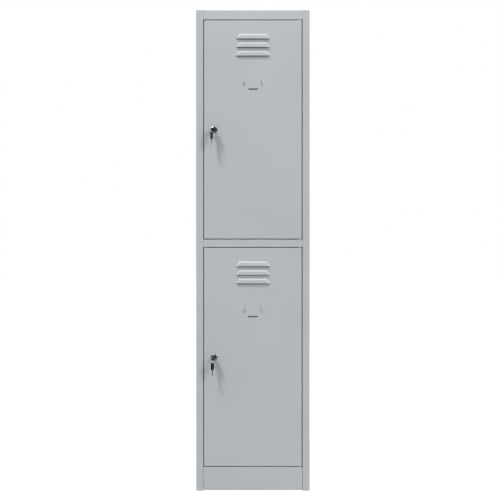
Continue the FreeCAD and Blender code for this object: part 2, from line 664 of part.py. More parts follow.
def lock_plug(tier, turn):
    """The turning plug: keyway in front, square tail and tapped hole behind."""
    body = new_body(f"{tier}_lock_plug")
    radius = "Sizes.bore_radius - Sizes.plug_clearance"
    front = "(-Sizes.head_height - Sizes.plug_proud)"
    revolve(body, [
        ("0", front), (f"{radius} - Sizes.plug_chamfer", front), (radius, f"{front} + Sizes.plug_chamfer"),
        (radius, "Sizes.plug_length"), ("0", "Sizes.plug_length"),
    ])
    half = "Sizes.tail_side / 2"
    tail_end = "Sizes.plug_length + Sizes.tail_length"
    box(body, f"-{half}", half, f"-{half}", half, "Sizes.plug_length", tail_end)
    wide = "(Sizes.blade_width / 2 + Sizes.keyway_play)"
    tall = "(Sizes.blade_gauge / 2 + Sizes.keyway_play)"
    keyway_end = f"{front} + Sizes.blade_inserted + Sizes.keyway_spare"
    box(body, f"-{wide}", wide, f"-{tall}", tall, f"{front} - {PAST}", keyway_end, cut=True)
    hole_end = "Sizes.plug_length + Sizes.cam_gauge - Sizes.screw_depth - Sizes.screw_hole_spare"
    drill(body, "XY", hole_end, f"{tail_end} + {PAST}", "0", "0", "Sizes.screw_radius")
    place_lock_piece(body, tier, turn)
    return body


def lock_cam(tier, turn):
    """A round-ended arm on the plug's tail; it reaches behind the left stop lip when locked."""
    body = new_body(f"{tier}_lock_cam")
    low = "Sizes.plug_length"
    high = "Sizes.plug_length + Sizes.cam_gauge"
    tip = "(-Sizes.cam_length)"
    box(body, "-Sizes.cam_radius", "Sizes.cam_radius", tip, "0", low, high)
    for centre in ("0", tip):
        extrude(body, "XY", low, high, lambda sketch: draw_circle(sketch, "0", centre, "Sizes.cam_radius"))
    half = "Sizes.tail_side / 2"
    box(body, f"-{half}", half, f"-{half}", half, f"{low} - {PAST}", f"{high} + {PAST}", cut=True)
    place_lock_piece(body, tier, turn)
    return body


def cam_screw(tier, turn):
    body = new_body(f"{tier}_cam_screw")
    seat = "(Sizes.plug_length + Sizes.cam_gauge)"
    crown = f"({seat} + Sizes.screw_head_height)"
    chamfer = "Sizes.screw_head_chamfer"
    revolve(body, [
        ("0", f"{seat} - Sizes.screw_depth"), ("Sizes.screw_radius", f"{seat} - Sizes.screw_depth"),
        ("Sizes.screw_radius", seat), ("Sizes.screw_head_radius", seat),
        ("Sizes.screw_head_radius", f"{crown} - {chamfer}"), (f"Sizes.screw_head_radius - {chamfer}", crown),
        ("0", crown),
    ])
    depth = "Sizes.driver_slot_depth"
    half = "Sizes.driver_slot_half"
    box(body, f"-{half}", half, f"-{depth} / 2", f"{depth} / 2", f"{crown} - {depth}", f"{crown} + {PAST}",
        cut=True)
    place_lock_piece(body, tier, turn)
    return body


# ---------------------------------------------------------------- keys
# A key is drawn flat in the XY plane: ring hole at the origin, blade towards +Y.

BOW_FAR = "(-Sizes.key_hole_edge)"
BOW_NEAR = "(Sizes.bow_length - Sizes.key_hole_edge)"
KEY_OUT = "(Sizes.head_height + Sizes.plug_proud + Sizes.blade_length - Sizes.blade_inserted)"
KEY_Y = f"({FRONT} - {KEY_OUT} - {BOW_NEAR})"


def key_bow(label):
    """The moulded grip with its ring hole and the pocket that holds the blade."""
    body = new_body(label)
    half = "Sizes.bow_width / 2"
    thick = "Sizes.bow_gauge / 2"
    box(body, f"-{half}", half, BOW_FAR, BOW_NEAR, f"-{thick}", thick)
    edge_x = value(half)

    def upright(edge):
        ends = [vertex.Point for vertex in edge.Vertexes]
        return abs(ends[0].z - ends[-1].z) > TOUCH and abs(abs(ends[0].x) - edge_x) < TOUCH

    round_edges(body, "Sizes.bow_corner", upright)
    face_z = value(thick)

    def around_faces(edge):
        return all(abs(abs(vertex.Point.z) - face_z) < TOUCH for vertex in edge.Vertexes)

    round_edges(body, "Sizes.bow_round", around_faces)
    drill(body, "XY", f"-{thick} - {PAST}", f"{thick} + {PAST}", "0", "0", "Sizes.key_hole_radius")
    wide = "Sizes.blade_width / 2"
    tall = "Sizes.blade_gauge / 2"
    box(body, f"-{wide}", wide, f"{BOW_NEAR} - Sizes.blade_embed", f"{BOW_NEAR} + {PAST}", f"-{tall}", tall,
        cut=True)
    return body


def key_blade(label):
    """The steel blade, with its bitting on one edge and a pointed tip."""
    body = new_body(label)
    wide = "Sizes.blade_width / 2"
    tall = "Sizes.blade_gauge / 2"
    tip = f"({BOW_NEAR} + Sizes.blade_length)"
    point = "Sizes.blade_point"
    points = [
        (f"-{wide}", f"{BOW_NEAR} - Sizes.blade_embed"), (wide, f"{BOW_NEAR} - Sizes.blade_embed"),
        (wide, f"{tip} - {point}"), (f"{wide} - {point}", tip), (f"{point} - {wide}", tip),
        (f"-{wide}", f"{tip} - {point}"),
    ]
    for index, depth in enumerate(BITTING_DEPTHS):
        back = BITTING_START + BITTING_PITCH * index
        points += [
            (f"-{wide}", f"{tip} - {back - BITTING_FRONT}"), (f"-{wide} + {depth}", f"{tip} - {back}"),
            (f"-{wide} + {depth}", f"{tip} - {back + BITTING_FLAT}"),
            (f"-{wide}", f"{tip} - {back + BITTING_BACK}"),
        ]
    extrude(body, "XY", f"-{tall}", tall, lambda sketch: draw_polygon(sketch, points))
    return body


def key_pair(tier, turn):
    """The key in the lock, turned with the plug."""
    turned = Rotation(Vector(0, 1, 0), -turn)
    for body in (key_bow(f"{tier}_key_bow"), key_blade(f"{tier}_key_blade")):
        place(body, LOCK_X, KEY_Y, f"{DOOR_BOTTOM[tier]} + {LOCK_Z}", turned)
        yield body


def ring_place(turn):
    """The ring's centre from the lock axis, as expressions (across, up), for a key turned by turn."""
    cosine, sine = direction(turn)
    across = f"(-Sizes.ring_hook * {cosine} - Sizes.ring_hook_lift * {sine})"
    up = f"(-Sizes.ring_hook * {sine} + Sizes.ring_hook_lift * {cosine} - Sizes.ring_drop)"
    return across, up


def key_ring(tier, turn):
    """The ring through the key's hole, hanging straight down beside the bow."""
    body = new_body(f"{tier}_key_ring")
    sketch = new_sketch(body, "XZ")
    draw_circle(sketch, "Sizes.ring_radius", "0", "Sizes.ring_wire")
    turning = body.newObject("PartDesign::Revolution", "Turning")
    turning.Profile = sketch
    turning.ReferenceAxis = (sketch, ["V_Axis"])
    turning.Angle = FULL_TURN
    doc.recompute()
    across, up = ring_place(turn)
    place(body, f"{LOCK_X} + {across}", KEY_Y, f"{DOOR_BOTTOM[tier]} + {LOCK_Z} + {up}",
          Rotation(Vector(1, 0, 0), 90))
    return body


def spare_pair(tier, turn):
    """The spare key, hanging nearly edge-on from the bottom of the ring."""
    edge_on = Rotation(Vector(0, 0, 1), 90) * Rotation(Vector(1, 0, 0), -90)
    hanging = Rotation(Vector(0, 0, 1), -value(f"Sizes.{tier}_spare_turn")) * edge_on
    across, up = ring_place(turn)
    height = f"{DOOR_BOTTOM[tier]} + {LOCK_Z} + {up} - Sizes.ring_radius - Sizes.spare_drop"
    for body in (key_bow(f"{tier}_spare_bow"), key_blade(f"{tier}_spare_blade")):
        place(body, f"{LOCK_X} + {across}", KEY_Y, height, hanging)
        yield body


# ---------------------------------------------------------------- assembly

pieces = [
    side_panel("left_side_panel", -1), side_panel("right_side_panel", 1), back_panel(), top_panel(),
    middle_shelf(), floor_panel(), plinth(),
]
for tier, ceiling in (("upper", "Sizes.cabinet_height"), ("lower", RAIL_TOP)):
    height = f"{ceiling} - Sizes.rail_drop"
    pieces.append(coat_rail(f"{tier}_coat_rail", height))
    pieces.append(rail_socket(f"{tier}_left_rail_socket", -1, height))
    pieces.append(rail_socket(f"{tier}_right_rail_socket", 1, height))
pieces += [
    hinge_pin("upper_top_pin", HEADER_BOTTOM, GAUGE, upward=False),
    hinge_pin("upper_bottom_pin", RAIL_TOP, GAUGE, upward=True),
    hinge_pin("lower_top_pin", RAIL_BOTTOM, GAUGE, upward=False),
    hinge_pin("lower_bottom_pin", "Sizes.plinth_top", f"2 * {GAUGE}", upward=True),
]
for tier in ("upper", "lower"):
    turn = value(f"Sizes.{tier}_turn")
    bottom = DOOR_BOTTOM[tier]
    pieces += [door_skin(tier), door_stiffener(tier)]
    pieces.append(hinge_bush(f"{tier}_top_bush", f"{bottom} + Sizes.door_height", outward_up=True))
    pieces.append(hinge_bush(f"{tier}_bottom_bush", bottom, outward_up=False))
    pieces.append(buffer_pad(f"{tier}_top_buffer", f"{bottom} + Sizes.door_height - Sizes.buffer_margin"))
    pieces.append(buffer_pad(f"{tier}_bottom_buffer", f"{bottom} + Sizes.buffer_margin"))
    pieces += [lock_housing(tier), lock_nut(tier)]
    pieces += [lock_plug(tier, turn), lock_cam(tier, turn), cam_screw(tier, turn)]
    pieces += key_pair(tier, turn)
    pieces.append(key_ring(tier, turn))
    pieces += spare_pair(tier, turn)
doc.recompute()

for item in doc.Objects:
    if "Invalid" in item.State or "Error" in item.State:
        raise RuntimeError(f"{item.Label} did not rebuild: {item.State}")
for piece in pieces:
    if piece.Shape.isNull() or not piece.Shape.isValid() or piece.Shape.Volume <= 0:
        raise RuntimeError(f"{piece.Label} has no valid shape")

os.makedirs("parts", exist_ok=True)
for piece in pieces:
    piece.Shape.exportStep(f"parts/{piece.Label}.step")
    print(f"{piece.Label}: {len(piece.Shape.Solids)} solid, {piece.Shape.Volume:.1f} mm3")
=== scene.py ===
import json
import math

import bmesh
import bpy
from mathutils import Matrix, Vector


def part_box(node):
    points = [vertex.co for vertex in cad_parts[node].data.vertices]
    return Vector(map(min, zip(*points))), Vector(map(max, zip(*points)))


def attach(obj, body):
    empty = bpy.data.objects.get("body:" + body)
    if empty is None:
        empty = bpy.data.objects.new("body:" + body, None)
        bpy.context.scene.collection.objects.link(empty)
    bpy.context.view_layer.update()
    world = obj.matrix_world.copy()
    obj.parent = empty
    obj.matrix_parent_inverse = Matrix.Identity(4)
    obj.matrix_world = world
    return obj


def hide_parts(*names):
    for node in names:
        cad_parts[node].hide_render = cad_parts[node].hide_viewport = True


# Looks of a two-tier steel locker cabinet. Metres; the doors face -Y, +Z is up, x = 0 is the middle.
# Lengths that only matter to the looks are written in millimetres times MM.

MM = 0.001
TINY = 0.001 * MM
TIERS = ("upper", "lower")

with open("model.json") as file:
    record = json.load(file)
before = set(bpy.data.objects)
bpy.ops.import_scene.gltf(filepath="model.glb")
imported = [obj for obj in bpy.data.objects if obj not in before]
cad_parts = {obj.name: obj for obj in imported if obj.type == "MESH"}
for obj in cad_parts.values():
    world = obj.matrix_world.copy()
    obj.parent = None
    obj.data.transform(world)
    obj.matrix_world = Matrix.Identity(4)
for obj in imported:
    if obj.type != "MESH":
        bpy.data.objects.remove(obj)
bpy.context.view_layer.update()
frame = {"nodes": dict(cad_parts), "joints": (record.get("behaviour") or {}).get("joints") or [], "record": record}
scene = bpy.context.scene
scene.view_settings.view_transform = "Standard"
joints = {joint["name"]: joint for joint in frame["joints"]}
node_slots = {row["node"]: row["material_slot"] for row in frame["record"]["subparts"]}

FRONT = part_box("plinth")[0].y
CABINET_LOW, CABINET_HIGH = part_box("right_side_panel")
HEIGHT = CABINET_HIGH.z


# ---------------------------------------------------------------- materials

def new_material(name, roughness, metallic=0.0):
    material = bpy.data.materials.new(name)
    material.use_nodes = True
    shader = material.node_tree.nodes["Principled BSDF"]
    shader.inputs["Roughness"].default_value = roughness
    shader.inputs["Metallic"].default_value = metallic
    return material, material.node_tree, shader


def noise(tree, scale, detail=2.0, stretch=(1, 1, 1)):
    """Noise in the piece's own coordinates; scale is in features per metre."""
    coordinates = tree.nodes.new("ShaderNodeTexCoord")
    mapping = tree.nodes.new("ShaderNodeMapping")
    mapping.inputs["Scale"].default_value = stretch
    texture = tree.nodes.new("ShaderNodeTexNoise")
    texture.inputs["Scale"].default_value = scale
    texture.inputs["Detail"].default_value = detail
    tree.links.new(coordinates.outputs["Object"], mapping.inputs["Vector"])
    tree.links.new(mapping.outputs["Vector"], texture.inputs["Vector"])
    return texture.outputs["Fac"]


def spread(tree, source, low, high, start=0.3, end=0.7):
    """Map the middle of a noise onto the range low to high."""
    node = tree.nodes.new("ShaderNodeMapRange")
    for name, number in (("From Min", start), ("From Max", end), ("To Min", low), ("To Max", high)):
        node.inputs[name].default_value = number
    tree.links.new(source, node.inputs["Value"])
    return node.outputs["Result"]


def blend_colors(tree, source, first, second, start=0.3, end=0.7):
    """Map the middle of a noise onto a run of colours from first to second."""
    node = tree.nodes.new("ShaderNodeValToRGB")
    for stop, position, color in zip(node.color_ramp.elements, (start, end), (first, second)):
        stop.position = position
        stop.color = (*color, 1)
    tree.links.new(source, node.inputs["Fac"])
    return node.outputs["Color"]


def add_bumps(tree, shader, *layers):
    """Chain bump layers, each (height source, depth in metres, strength), onto the shader."""
    normal = None
    for height, depth, strength in layers:
        bump = tree.nodes.new("ShaderNodeBump")
        bump.inputs["Distance"].default_value = depth
        bump.inputs["Strength"].default_value = strength
        tree.links.new(height, bump.inputs["Height"])
        if normal is not None:
            tree.links.new(normal, bump.inputs["Normal"])
        normal = bump.outputs["Normal"]
    tree.links.new(normal, shader.inputs["Normal"])


def powder_coat():
    """Light grey powder coat: fine orange peel, slight waves in the sheet, faint cloudiness."""
    material, tree, shader = new_material("powder_coat", 0.42)
    cloud = noise(tree, 5, 3)
    tree.links.new(blend_colors(tree, cloud, (0.508, 0.534, 0.557), (0.528, 0.555, 0.579)),
                   shader.inputs["Base Color"])
    tree.links.new(spread(tree, noise(tree, 90, 4), 0.36, 0.5), shader.inputs["Roughness"])
    add_bumps(tree, shader, (noise(tree, 2.2, 1), 1.2 * MM, 0.25), (noise(tree, 620, 2), 0.03 * MM, 0.5))
    return material


def chrome():
    """Polished chrome with hairline scratches."""
    material, tree, shader = new_material("chrome", 0.09, 1.0)
    shader.inputs["Base Color"].default_value = (0.36, 0.37, 0.38, 1)
    tree.links.new(spread(tree, noise(tree, 900, 3, (1, 1, 6)), 0.1, 0.2), shader.inputs["Roughness"])
    add_bumps(tree, shader, (noise(tree, 1500, 2, (1, 1, 8)), 0.004 * MM, 0.4))
    return material


def zinc():
    """Bright zinc plating, mottled and slightly rough."""
    material, tree, shader = new_material("zinc", 0.34, 1.0)
    mottle = noise(tree, 260, 4)
    tree.links.new(blend_colors(tree, mottle, (0.46, 0.47, 0.5), (0.62, 0.62, 0.6)), shader.inputs["Base Color"])
    tree.links.new(spread(tree, noise(tree, 500, 3), 0.26, 0.44), shader.inputs["Roughness"])
    add_bumps(tree, shader, (noise(tree, 800, 3), 0.01 * MM, 0.5))
    return material


def nickel():
    """Nickel-plated key steel, brushed along the blade."""
    material, tree, shader = new_material("nickel", 0.25, 1.0)
    grain = noise(tree, 1400, 3, (1, 1, 0.12))
    tree.links.new(blend_colors(tree, grain, (0.2, 0.2, 0.195), (0.32, 0.32, 0.31)), shader.inputs["Base Color"])
    tree.links.new(spread(tree, grain, 0.3, 0.45), shader.inputs["Roughness"])
    add_bumps(tree, shader, (grain, 0.006 * MM, 0.5))
    return material


def plastic(name, dark, light, rough_low, rough_high, grain_scale, gloss=0.5):
    """Moulded plastic or rubber with a fine spark-eroded grain."""
    material, tree, shader = new_material(name, rough_low)
    shader.inputs["Specular IOR Level"].default_value = gloss
    tree.links.new(blend_colors(tree, noise(tree, 120, 3), dark, light), shader.inputs["Base Color"])
    tree.links.new(spread(tree, noise(tree, 400, 3), rough_low, rough_high), shader.inputs["Roughness"])
    add_bumps(tree, shader, (noise(tree, grain_scale, 2), 0.02 * MM, 0.5))
    return material


MATERIALS = {
    "painted_steel": powder_coat(),
    "chrome": chrome(),
    "zinc_steel": zinc(),
    "key_steel": nickel(),
    "black_plastic": plastic("black_plastic", (0.004, 0.004, 0.005), (0.009, 0.009, 0.010), 0.34, 0.48, 1800, 0.2),
    "nylon": plastic("nylon", (0.66, 0.65, 0.6), (0.74, 0.73, 0.69), 0.42, 0.55, 1500),
    "rubber": plastic("rubber", (0.028, 0.028, 0.029), (0.045, 0.045, 0.046), 0.6, 0.8, 1200),
}


# ---------------------------------------------------------------- pieces

def add_piece(name, mesh, body, node, material_slot=None, smooth_angle=32):
    """Show a mesh instead of a CAD node, riding on its body."""
    slot = material_slot or node_slots[node]
    mesh.polygons.foreach_set("use_smooth", [True] * len(mesh.polygons))
    mesh.set_sharp_from_angle(angle=math.radians(smooth_angle))
    mesh.materials.clear()
    mesh.materials.append(MATERIALS[slot])
    piece = bpy.data.objects.new(name, mesh)
    scene.collection.objects.link(piece)
    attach(piece, body)
    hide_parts(node)
    return piece


def finished_mesh(name, form):
    """Turn a bmesh into a mesh, merging vertices that meet."""
    bmesh.ops.remove_doubles(form, verts=form.verts, dist=0.002 * MM)
    mesh = bpy.data.meshes.new(name)
    form.to_mesh(mesh)
    form.free()
    return mesh


def join_rings(form, rings, closed=False):
    """Fill the bands between rings of vertices; closed joins the last ring to the first."""
    faces = []
    for first, second in zip(rings, rings[1:] + (rings[:1] if closed else [])):
        for step in range(len(first)):
            following = (step + 1) % len(first)
            corners = list(dict.fromkeys((first[step], first[following], second[following], second[step])))
            if len(corners) > 2:
                faces.append(form.faces.new(corners))
    return faces


def full_turn(count):
    """Evenly spaced directions all the way round, in radians."""
    return [2 * math.pi * step / count for step in range(count)]


def soften(points, radius, steps=4):
    """Round the corners of an open profile of (radius, height) pairs."""
    corners = [Vector(point) for point in points]
    result = [corners[0]]
    for before, corner, after in zip(corners, corners[1:], corners[2:]):
        back, ahead = before - corner, after - corner
        cut = min(radius, 0.45 * back.length, 0.45 * ahead.length)
        start = corner + back.normalized() * cut
        end = corner + ahead.normalized() * cut
        for step in range(steps + 1):
            part = step / steps
            result.append(start.lerp(corner, part).lerp(corner.lerp(end, part), part))
    return result + [corners[-1]]


def lathe(name, profile, placement, segments=64, closed=False, reshape=None):
    """Turn a profile of (radius, height) about the local Z axis; a closed profile makes a tube."""
    form = bmesh.new()
    turns = full_turn(segments)
    rings = []
    for radius, height in profile:
        if radius < TINY:
            rings.append([form.verts.new((0, 0, height))] * segments)
        else:
            rings.append([form.verts.new((radius * math.cos(a), radius * math.sin(a), height)) for a in turns])
    join_rings(form, rings, closed)
    if reshape:
        for vertex in form.verts:
            vertex.co = reshape(vertex.co)
    bmesh.ops.recalc_face_normals(form, faces=form.faces)
    form.transform(placement)
    return finished_mesh(name, form)


def along(axis, centre):
    """Placement that lays local Z along an axis, with its origin at centre."""
    return Matrix.Translation(centre) @ Vector(axis).to_track_quat("Z", "Y").to_matrix().to_4x4()


def scaled(profile):
    """A profile written in millimetres, in metres."""
    return [(radius * MM, height * MM) for radius, height in profile]


def middle(node):
    low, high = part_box(node)
    return (low + high) / 2


# ---------------------------------------------------------------- doors
# A door is one pressed sheet: a grid for its front, bent round its edges, given the sheet's thickness.

SHEET = 0.8 * MM
BEND = 1.5 * MM
BEND_MARGIN = 0.6 * MM
DOOR_DEPTH = 18 * MM
LIP = 14 * MM
GUARD = 0.8 * MM    # extra grid lines this close to a pressing keep its shading off the flat sheet
LOUVRES = 3
LOUVRE = {"first": 50.3 * MM, "pitch": 31.9 * MM, "height": 18.5 * MM, "half": 64.5 * MM, "top_half": 52.5 * MM,
          "rise": 5.5 * MM, "shoulder": 6.5 * MM, "corner": 3 * MM, "lean": 0.16, "slit": 1.3 * MM}
LANCE = {"top": 212 * MM, "height": 27 * MM, "inner": 31.6 * MM, "outer": 38.5 * MM, "rise": 2.4 * MM,
         "shoulder": 3 * MM, "taper": 19 * MM, "slit": 0.9 * MM}
LEDGE = {"top": 253.8 * MM, "half": 18 * MM, "slot": 3.4 * MM, "rise": 2.2 * MM, "lip": 2 * MM}


def grid_lines(fixed, runs):
    """Fixed positions, and evenly spaced ones between them wherever they don't crowd."""
    lines = list(fixed)
    for start, end, step in runs:
        count = max(1, round(abs(end - start) / step))
        for index in range(count + 1):
            position = start + (end - start) * index / count
            if all(abs(position - line) > 0.35 * abs(step) for line in lines):
                lines.append(position)
    return sorted(lines)


def ease(part):
    """A smooth step from 0 to 1."""
    part = min(1.0, max(0.0, part))
    return part * part * (3 - 2 * part)


def soft_min(first, second, blend):
    """The smaller of two numbers, with the change from one to the other rounded off."""
    overlap = max(blend - abs(first - second), 0) / blend
    return min(first, second) - overlap * overlap * blend / 4


def louvre_bottoms(height):
    """The bottom of each louvre, from the door's bottom edge."""
    return [height - LOUVRE["first"] - LOUVRE["pitch"] * index - LOUVRE["height"] for index in range(LOUVRES)]


def ramp(part, rounding=0.2):
    """A straight climb from 0 to 1 with rounded ends."""
    steepness = 1 / (1 - rounding)
    if part <= 0 or part >= 1:
        return float(part >= 1)
    if part < rounding:
        return steepness * part * part / (2 * rounding)
    if part > 1 - rounding:
        return 1 - steepness * (1 - part) * (1 - part) / (2 * rounding)
    return steepness * (part - rounding / 2)


def pressed_height(across, up, height):
    """How far the sheet stands proud at a place on the door, from its middle and its bottom edge."""
    across = abs(across)
    for low in louvre_bottoms(height):
        drop = low + LOUVRE["height"] - up
        if -TINY <= drop <= LOUVRE["height"] + TINY:
            slant = LOUVRE["half"] - LOUVRE["top_half"]
            side = (LOUVRE["half"] - across) * LOUVRE["height"] - (up - low) * slant
            side /= math.hypot(slant, LOUVRE["height"])
            wall = ramp(soft_min(drop, side, LOUVRE["corner"]) / LOUVRE["shoulder"])
            return LOUVRE["rise"] * wall * (1 - LOUVRE["lean"] * (1 - drop / LOUVRE["height"]))
    drop = height - LANCE["top"] - up
    if LANCE["inner"] - TINY <= across <= LANCE["outer"] and -TINY <= drop <= LANCE["height"] + TINY:
        side = ramp((LANCE["outer"] - across) / LANCE["shoulder"])
        return LANCE["rise"] * side * ramp(drop / LANCE["taper"])
    return 0.0


def is_cut_out(across, up, height):
    """True inside the slits under the louvres, round the lances and in the ledge's slot."""
    across = abs(across)
    for low in louvre_bottoms(height):
        if low - LOUVRE["slit"] < up < low and across < LOUVRE["half"] - MM:
            return True
    lance_top = height - LANCE["top"]
    lance_low = lance_top - LANCE["height"]
    if LANCE["inner"] - LANCE["slit"] < across < LANCE["inner"] and lance_low - LANCE["slit"] < up < lance_top - 2 * MM:
        return True
    if LANCE["inner"] < across < LANCE["outer"] - MM and lance_low - LANCE["slit"] < up < lance_low:
        return True
    slot_top = height - LEDGE["top"] - LEDGE["lip"]
    return across < LEDGE["half"] and slot_top - LEDGE["slot"] < up < slot_top


def door_grid_lines(half, height):
    """Grid lines across and up the door: on every edge, dense over the pressings, sparse elsewhere."""
    edge = half - BEND
    columns = [LANCE["inner"], LANCE["inner"] - LANCE["slit"], LANCE["outer"], LEDGE["half"], edge,
               edge - BEND_MARGIN, half - LIP - 2 * MM]
    fixed_x = [side * column for column in columns for side in (-1, 1)]
    dense, calm = LOUVRE["half"] + 2 * MM, LANCE["inner"] - 2 * MM
    runs = [(-calm, calm, 3 * MM)]
    for side in (-1, 1):
        runs += [(side * calm, side * dense, MM), (side * dense, side * edge, 40 * MM)]
    across = grid_lines(fixed_x, runs)
    lance_top = height - LANCE["top"]
    lance_low = lance_top - LANCE["height"]
    slot_top = height - LEDGE["top"] - LEDGE["lip"]
    fixed_z = [BEND, BEND + BEND_MARGIN, LIP + 2 * MM, height - LIP - 2 * MM, height - BEND - BEND_MARGIN,
               height - BEND, lance_top, lance_low, lance_low - LANCE["slit"], lance_top + GUARD, slot_top,
               slot_top - LEDGE["slot"]]
    runs = [(lance_low - 2 * MM, lance_top + GUARD, MM)]
    for low in louvre_bottoms(height):
        slit_low, top = low - LOUVRE["slit"], low + LOUVRE["height"]
        fixed_z += [low, slit_low, slit_low - GUARD, top, top + GUARD]
        runs.append((low, top, 0.8 * MM))
    runs.append((BEND, height - BEND, 45 * MM))
    return across, grid_lines(fixed_z, runs)


def door_front(form, half, height):
    """The pressed front of the sheet, y = 0 at its face; returns its rows of vertices."""
    columns, rows = door_grid_lines(half, height)
    grid = [[form.verts.new((x, -pressed_height(x, z, height), z)) for x in columns] for z in rows]
    for low, high in zip(range(len(rows)), range(1, len(rows))):
        for left, right in zip(range(len(columns)), range(1, len(columns))):
            centre = (columns[left] + columns[right]) / 2, (rows[low] + rows[high]) / 2
            if not is_cut_out(*centre, height):
                form.faces.new((grid[low][left], grid[low][right], grid[high][right], grid[high][left]))
    return grid


def bend_edges(form, grid):
    """Bend the sheet back round all four edges and finish it with inward lips."""
    low, high = grid[0][0].co, grid[-1][-1].co
    boundary = [(vertex, -90) for vertex in grid[0][:-1]]
    boundary += [(row[-1], 0) for row in grid[:-1]]
    boundary += [(vertex, 90) for vertex in grid[-1][:0:-1]]
    boundary += [(row[0], 180) for row in grid[:0:-1]]
    samples = []
    previous = 180
    for vertex, angle in boundary:
        if angle != previous:
            start = previous if angle > previous else previous - 360
            samples += [(vertex, start + (angle - start) * step / 4) for step in range(4)]
        samples.append((vertex, angle))
        previous = angle
    steps = [math.radians(90 * step / 5) for step in range(6)]
    rings = [(BEND * math.sin(turn), BEND * (1 - math.cos(turn))) for turn in steps]
    rings += [(BEND, BEND + BEND_MARGIN), (BEND, DOOR_DEPTH - BEND - BEND_MARGIN), (BEND, DOOR_DEPTH - BEND)]
    lip_rings = [(BEND * math.cos(turn), DOOR_DEPTH - BEND + BEND * math.sin(turn)) for turn in steps[1:]]
    lip_rings += [(-BEND_MARGIN, DOOR_DEPTH), (BEND - LIP, DOOR_DEPTH)]

    def moved(vertex, angle, outward, depth):
        turn = math.radians(angle)
        return vertex.co + Vector((math.cos(turn) * outward, depth, math.sin(turn) * outward))

    def has_lip(vertex, angle):
        if angle % 90:
            return False
        if angle % 180:
            return LIP - BEND <= vertex.co.x - low.x and LIP - BEND <= high.x - vertex.co.x
        return LIP - BEND <= vertex.co.z - low.z and LIP - BEND <= high.z - vertex.co.z

    levels = [dict(enumerate(vertex for vertex, _ in samples))]
    levels += [{index: form.verts.new(moved(*sample, *ring)) for index, sample in enumerate(samples)}
               for ring in rings[1:]]
    levels += [{index: form.verts.new(moved(*sample, *ring)) for index, sample in enumerate(samples)
                if has_lip(*sample)} for ring in lip_rings]
    for inner, outer in zip(levels, levels[1:]):
        for index in outer:
            following = (index + 1) % len(samples)
            if following in outer:
                corners = (inner[index], outer[index], outer[following], inner[following])
                form.faces.new(list(dict.fromkeys(corners)))
    for level in levels[len(rings):]:
        for vertex in level.values():
            if not vertex.link_faces:
                form.verts.remove(vertex)


def cutter(name, outline, low, high, axis):
    """A prism that cuts a hole; outline is in the plane across the axis."""
    form = bmesh.new()
    turn = {"Y": lambda u, v, w: (u, w, v), "Z": lambda u, v, w: (u, v, w)}[axis]
    ends = [[form.verts.new(turn(u, v, w)) for u, v in outline] for w in (low, high)]
    form.faces.new(ends[0])
    form.faces.new(ends[1][::-1])
    join_rings(form, ends)
    bmesh.ops.recalc_face_normals(form, faces=form.faces)
    return bpy.data.objects.new(name, finished_mesh(name, form))


def circle_outline(across, up, radius, flat=None, count=48):
    """A circle, or one with its top and bottom cut flat."""
    limit = radius if flat is None else flat
    turns = [2 * math.pi * (step + 0.5) / count for step in range(count)]
    return [(across + radius * math.cos(turn), up + max(-limit, min(limit, radius * math.sin(turn)))) for turn in turns]


def ledge_tab(form, height):
    """The tab folded out of the slot, that the name card stands in."""
    base = height - LEDGE["top"] - LEDGE["lip"]
    outer = [(SHEET / 2, base), (-LEDGE["rise"], base), (-LEDGE["rise"], base + LEDGE["lip"])]
    inner = [(SHEET / 2, base + SHEET), (SHEET - LEDGE["rise"], base + SHEET),
             (SHEET - LEDGE["rise"], base + LEDGE["lip"])]
    front = soften(outer, 0.9 * MM)
    back = soften(inner, 0.3 * MM)
    outline = front + back[::-1]
    ends = [[form.verts.new((side * LEDGE["half"], y, z)) for y, z in outline] for side in (-1, 1)]
    faces = [form.faces.new(ends[0][::-1]), form.faces.new(ends[1])] + join_rings(form, ends)
    bmesh.ops.recalc_face_normals(form, faces=faces)


def baked(piece, cutters):
    """The piece's mesh with its modifiers and the cutters' holes applied."""
    for tool in cutters:
        scene.collection.objects.link(tool)
        hole = piece.modifiers.new("hole", "BOOLEAN")
        hole.operation = "DIFFERENCE"
        hole.solver = "EXACT"
        hole.object = tool
    graph = bpy.context.evaluated_depsgraph_get()
    mesh = bpy.data.meshes.new_from_object(piece.evaluated_get(graph))
    for tool in cutters + [piece]:
        bpy.data.objects.remove(tool)
    return mesh


def door_sheet(tier):
    """The whole door skin: pressed, bent, thickened, bored for the lock and the bushes, with its ledge."""
    node = f"{tier}_door_skin"
    low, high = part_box(node)
    half, height = (high.x - low.x) / 2, high.z - low.z
    form = bmesh.new()
    bend_edges(form, door_front(form, half, height))
    sheet = bpy.data.objects.new("sheet", finished_mesh("sheet", form))
    scene.collection.objects.link(sheet)
    solid = sheet.modifiers.new("thickness", "SOLIDIFY")
    solid.thickness = SHEET
    solid.offset = -1
    solid.use_even_offset = True
    axis = Vector(joints[f"{tier}_lock_turn"]["pos_m"])
    hinge = Vector(joints[f"{tier}_door_hinge"]["pos_m"])
    bush = circle_outline(hinge.x, hinge.y - FRONT, 4 * MM)
    cutters = [
        cutter("lock_hole", circle_outline(axis.x, axis.z - low.z, 9.05 * MM, 8.05 * MM), -MM, 2 * MM, "Y"),
        cutter("bush_hole", bush, height - 2 * MM, height + MM, "Z"),
        cutter("bush_hole", bush, -MM, 2 * MM, "Z"),
    ]
    mesh = baked(sheet, cutters)
    form = bmesh.new()
    form.from_mesh(mesh)
    ledge_tab(form, height)
    form.transform(Matrix.Translation((0, FRONT, low.z)))
    add_piece(f"{tier}_door_sheet", finished_mesh(f"{tier}_door_sheet", form), f"{tier}_door", node)


for tier in TIERS:
    door_sheet(tier)


# ---------------------------------------------------------------- turned parts

